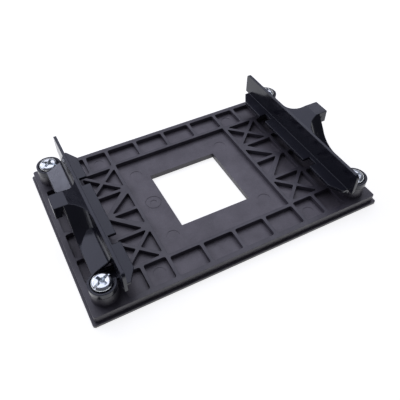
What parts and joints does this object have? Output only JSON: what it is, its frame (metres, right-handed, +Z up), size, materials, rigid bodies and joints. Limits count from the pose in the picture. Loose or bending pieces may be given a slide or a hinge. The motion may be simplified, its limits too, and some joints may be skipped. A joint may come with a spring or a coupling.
{
  "type": "processor cooler retention bracket set",
  "caption": "Ribbed rectangular backplate with a square window, carrying two upright clip brackets held by screws on four pillars.",
  "frame": {"origin": "middle of the backplate, on its underside", "axes": "+X along the long side of the plate towards the right-hand bracket, +Y along the short side, +Z up out of the ribbed face"},
  "size_m": [0.103, 0.0678, 0.0194],
  "materials": {
    "backplate": "fine matte mould texture",
    "bracket": "satin moulded plastic",
    "screw": "bright zinc plate",
    "sleeve": "turned brass"
  },
  "bodies": {
    "plate": {"backplate": "backplate", "sleeve_fl": "sleeve", "sleeve_fr": "sleeve", "sleeve_bl": "sleeve", "sleeve_br": "sleeve"},
    "left_bracket": {"bracket_left": "bracket"},
    "right_bracket": {"bracket_right": "bracket"},
    "screw_body_fl": {"screw_fl": "screw"},
    "screw_body_fr": {"screw_fr": "screw"},
    "screw_body_bl": {"screw_bl": "screw"},
    "screw_body_br": {"screw_br": "screw"}
  },
  "joints": [
    {"name": "lift_left", "type": "slide", "parent": "plate", "child": "left_bracket", "axis": [0, 0, 1], "range_m": [0, 0.012]},
    {"name": "lift_right", "type": "slide", "parent": "plate", "child": "right_bracket", "axis": [0, 0, 1], "range_m": [0, 0.012]},
    {"name": "turn_fl", "type": "hinge", "parent": "left_bracket", "child": "screw_body_fl", "pos_m": [-0.045, -0.027, 0.0095], "axis": [0, 0, 1], "continuous": true},
    {"name": "turn_fr", "type": "hinge", "parent": "right_bracket", "child": "screw_body_fr", "pos_m": [0.045, -0.027, 0.0095], "axis": [0, 0, 1], "continuous": true},
    {"name": "turn_bl", "type": "hinge", "parent": "left_bracket", "child": "screw_body_bl", "pos_m": [-0.045, 0.027, 0.0095], "axis": [0, 0, 1], "continuous": true},
    {"name": "turn_br", "type": "hinge", "parent": "right_bracket", "child": "screw_body_br", "pos_m": [0.045, 0.027, 0.0095], "axis": [0, 0, 1], "continuous": true}
  ]
}
